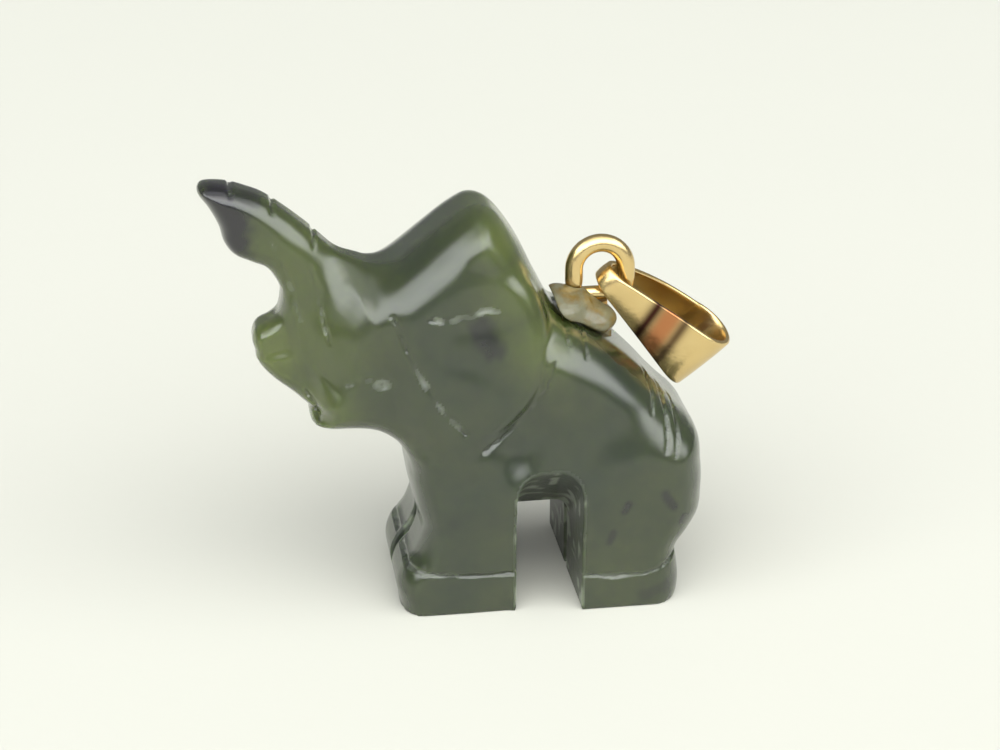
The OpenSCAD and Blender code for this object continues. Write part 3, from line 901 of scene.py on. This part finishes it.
class CHARM_OT_bail(bpy.types.Operator):
    """Fold the gold strip of the bail round the ring's wire"""

    bl_idname = "charm.bail"
    bl_label = "Fold Bail"

    # How the bail rests on the back, in degrees
    rest, lean = 45, 13
    # The middle of the narrow fold, from the middle of the ring, and the strip's bows and edges, all in mm
    fold_x = 1.1
    front_bow = (0, 0.05)
    back_bow = (0.02, 0.42)
    edge = 0.1
    crown = 0.05
    # The painted reflection's copper-orange band and the two painted dark bands beside it: place and half
    # length along the strip in mm
    reflection_band = (4.35, 0.62)
    reflection_dark_bands = ((3.45, 0.36, 1.0), (5.2, 0.3, 0.85))

    def route(self, settings):
        """The strip's middle line, folded in its own plane, in mm from the middle of the ring."""
        strip, tip_inside, end_inside = (
            value / MM for value in (settings.strip, settings.tip_inside, settings.end_inside))
        tip = np.array([self.fold_x, 0.0])
        end = np.array([
            self.fold_x - tip_inside + settings.bail_length / MM - end_inside - 2 * strip,
            end_inside - tip_inside,
        ])
        tip_mid, end_mid = tip_inside + strip / 2, end_inside + strip / 2
        front = np.linspace(tip - [0, tip_mid], end - [0, end_mid], 30)
        front = front + np.sin(np.linspace(0, math.pi, 30))[:, None] * self.front_bow
        slope = 2 * math.degrees(math.atan2(end[1], end[0] - tip[0]))
        fold = arc(end, end_mid, -90, 90 + slope, 26)[1:-1]
        top = 90 + slope
        back = np.linspace(arc(end, end_mid, top, top, 1)[0], arc(tip, tip_mid, top, top, 1)[0], 34)
        back = back + np.sin(np.linspace(0, math.pi, 34))[:, None] * self.back_bow
        narrow = arc(tip, tip_mid, 90 + slope, 270, 22)[1:-1]
        return even_steps(np.vstack([front, fold, back, narrow]), 220)

    def section(self):
        """The strip's section round both faces: side, drop from the edge, place across and side through."""
        spots = []
        for sign in (1, -1):
            for turn in np.radians(np.linspace(0, 180, 9)):
                spots.append((sign, self.edge * (math.sin(turn) - 1), None, sign * math.cos(turn)))
            for t in np.linspace(0, 1, 16)[1:-1]:
                spots.append((sign * (1 - 2 * t), 0.0, t, -sign))
        return spots

    def execute(self, context):
        settings = context.scene.charm_gold
        route = self.route(settings)
        normals = outward(route)
        low_x, high_x = route[:, 0].min(), route[:, 0].max()
        share = (route[:, 0] - low_x) / (high_x - low_x)
        widths = (settings.tip_width + (settings.end_width - settings.tip_width) * share) / MM
        section = self.section()
        points = []
        for place, normal, width in zip(route, normals, widths):
            half = width / 2
            for sign, inset, t, thick in section:
                wide = sign * (half + inset) if t is None else sign * (half - self.edge)
                crown = self.crown * (1 - (wide / half) ** 2) * (1 if thick > 0 else 0.3)
                out = thick * settings.strip / MM / 2
                out += crown * (1 if thick > 0 else -1) * (1 if abs(thick) == 1 else 0.5)
                points.append((place[0] + normal[0] * out, place[1] + normal[1] * out, wide))
        points = np.array(points)
        around = len(section)
        front_face = np.repeat((route[:, 1] < -0.5).astype(float), around)
        centre = points[:, 0] + 0.25 * points[:, 2]
        # Painted reflection: a copper-orange band on the front leaf, with a painted dark band on either side
        painted_reflection = np.exp(-((centre - self.reflection_band[0]) / self.reflection_band[1]) ** 4) * front_face
        painted_reflection_dark = sum(
            strength * np.exp(-((centre - middle) / reach) ** 2)
            for middle, reach, strength in self.reflection_dark_bands)
        dents = 0.02 * cloud(points[:, 0], points[:, 1], points[:, 2], 1.0, 51)
        points += np.repeat(np.column_stack([normals, np.zeros(len(normals))]), around, 0) * dents[:, None]
        rest = Matrix.Rotation(math.radians(self.rest), 4, "Y")
        lean = Matrix.Rotation(math.radians(self.lean), 4, "X")
        place = Matrix.Translation(Vector(swing["pos_m"])) @ rest @ lean
        world = points * MM @ np.array(place.to_3x3()).T + np.array(place.translation)
        make_piece("gold_bail", world, tube_faces(len(route), around),
                   bpy.data.materials["cast_gold_polished"], "bail", "bail",
                   {"painted_reflection": painted_reflection, "painted_reflection_dark": painted_reflection_dark * front_face})
        return {"FINISHED"}


def direction(azimuth, elevation):
    """The unit vector from the charm to that azimuth and elevation, 0 being straight in front."""
    level = math.cos(elevation)
    return Vector((math.sin(azimuth) * level, -math.cos(azimuth) * level, math.sin(elevation)))


class CHARM_OT_stage(bpy.types.Operator):
    """Set the table, the soft lights and the camera"""

    bl_idname = "charm.stage"
    bl_label = "Set Stage"

    table_spans = 40
    softbox_place = (math.radians(8), math.radians(62))
    softbox_size = (200 * MM, 120 * MM)
    softbox_distance = 240 * MM
    softbox_watts = 0.12
    window_strength = 3.75
    room_strength = 0.3

    def table(self, context, settings, low, span):
        """A plain table under the charm."""
        half = self.table_spans * span
        mesh = bpy.data.meshes.new("table")
        corners = [(-half, -half, low.z), (half, -half, low.z), (half, half, low.z), (-half, half, low.z)]
        mesh.from_pydata(corners, [], [(0, 1, 2, 3)])
        mesh.materials.append(matt_table(settings))
        table = bpy.data.objects.new("table", mesh)
        context.scene.collection.objects.link(table)

    def softbox(self, context, target):
        """A weak softbox above, which draws the shadow together."""
        light = bpy.data.lights.new("key_softbox", "AREA")
        light.shape = "RECTANGLE"
        light.size, light.size_y = self.softbox_size
        light.energy = self.softbox_watts
        light.color = colour("#FFFDF8")[:3]
        lamp = bpy.data.objects.new("key_softbox", light)
        back = direction(*self.softbox_place)
        lamp.location = target + back * self.softbox_distance
        lamp.rotation_euler = back.to_track_quat("Z", "Y").to_euler()
        context.scene.collection.objects.link(lamp)

    def room(self, context):
        """A room with a wide window in front, dimmer overhead, and darker behind."""
        world = bpy.data.worlds.new("room")
        world.use_nodes = True
        world.node_tree.nodes.clear()
        node = functools.partial(add, world.node_tree)
        heading = node("ShaderNodeTexCoord").outputs["Generated"]
        facing = node("ShaderNodeVectorMath", {0: heading, 1: (0.0, -0.8, 0.6)}, operation="DOT_PRODUCT")
        height = node("ShaderNodeSeparateXYZ", {"Vector": heading}).outputs["Z"]
        bright = 1.0
        # Bright towards the window, dark below its sill and dimmer again overhead
        for value, low, high, start, end in (
            (facing.outputs["Value"], 0.3, 0.5, 0.0, 1.0), (height, 0.2, 0.32, 0.0, 1.0),
            (height, 0.66, 0.92, 1.0, 0.25),
        ):
            share = node(
                "ShaderNodeMapRange",
                {"Value": value, "From Min": low, "From Max": high, "To Min": start, "To Max": end},
                interpolation_type="SMOOTHSTEP")
            bright = node("ShaderNodeMath", {0: bright, 1: share}, operation="MULTIPLY")
        level = node("ShaderNodeMath", {0: bright, 1: self.window_strength, 2: self.room_strength},
                     operation="MULTIPLY_ADD")
        background = node("ShaderNodeBackground", {"Color": "#F8FBFA", "Strength": level})
        node("ShaderNodeOutputWorld", {"Surface": background}).is_active_output = True
        context.scene.world = world
        context.scene.view_settings.view_transform = "Standard"

    def camera(self, context, settings, target):
        """The camera in front of the charm and a little above it."""
        camera = bpy.data.cameras.new("camera")
        camera.sensor_width, camera.lens = 36, 79.2
        camera.clip_start, camera.clip_end = 5 * MM, 10
        eye = bpy.data.objects.new("camera", camera)
        back = direction(settings.azimuth, settings.elevation)
        eye.location = target + back * settings.distance
        eye.rotation_mode = "QUATERNION"
        eye.rotation_quaternion = back.to_track_quat("Z", "Y")
        context.scene.collection.objects.link(eye)
        context.scene.camera = eye

    def execute(self, context):
        settings = context.scene.charm_stage
        low, high = cad_bounds
        target = Vector((stone_low.x - DRAWN_LOW.x * MM, 0, (low.z + high.z) / 2 + 0.1 * MM))
        self.table(context, settings, low, max(high - low))
        self.softbox(context, target)
        self.room(context)
        self.camera(context, settings, target)
        return {"FINISHED"}


class CHARM_PT_panel(bpy.types.Panel):
    """The charm's pieces and their settings"""

    bl_idname = "CHARM_PT_panel"
    bl_label = "Jade Charm"
    bl_space_type = "VIEW_3D"
    bl_region_type = "UI"
    bl_category = "Jade Charm"

    def draw(self, context):
        for name, kind in SETTINGS.items():
            box = self.layout.box()
            for setting in kind.__annotations__:
                box.prop(getattr(context.scene, name), setting)
        for operator in OPERATORS:
            self.layout.operator(operator.bl_idname)


SETTINGS = {
    "charm_stone": StoneSettings, "charm_gold": GoldSettings,
    "charm_cement": CementSettings, "charm_stage": StageSettings,
}
OPERATORS = (
    CHARM_OT_stage, CHARM_OT_elephant, CHARM_OT_eye_ring, CHARM_OT_peg, CHARM_OT_cement, CHARM_OT_bail,
)


def register():
    for kind in (*SETTINGS.values(), *OPERATORS, CHARM_PT_panel):
        bpy.utils.register_class(kind)
    for name, kind in SETTINGS.items():
        setattr(bpy.types.Scene, name, bpy.props.PointerProperty(type=kind))


def unregister():
    for name in SETTINGS:
        delattr(bpy.types.Scene, name)
    for kind in (CHARM_PT_panel, *reversed(OPERATORS), *reversed(SETTINGS.values())):
        bpy.utils.unregister_class(kind)


def main():
    """Makes every piece and the stage."""
    register()
    polished_gold(bpy.context.scene.charm_gold)
    bpy.ops.charm.stage()
    bpy.ops.charm.elephant()
    bpy.ops.charm.eye_ring()
    bpy.ops.charm.peg()
    bpy.ops.charm.cement()
    bpy.ops.charm.bail()


if __name__ == "__main__":
    main()
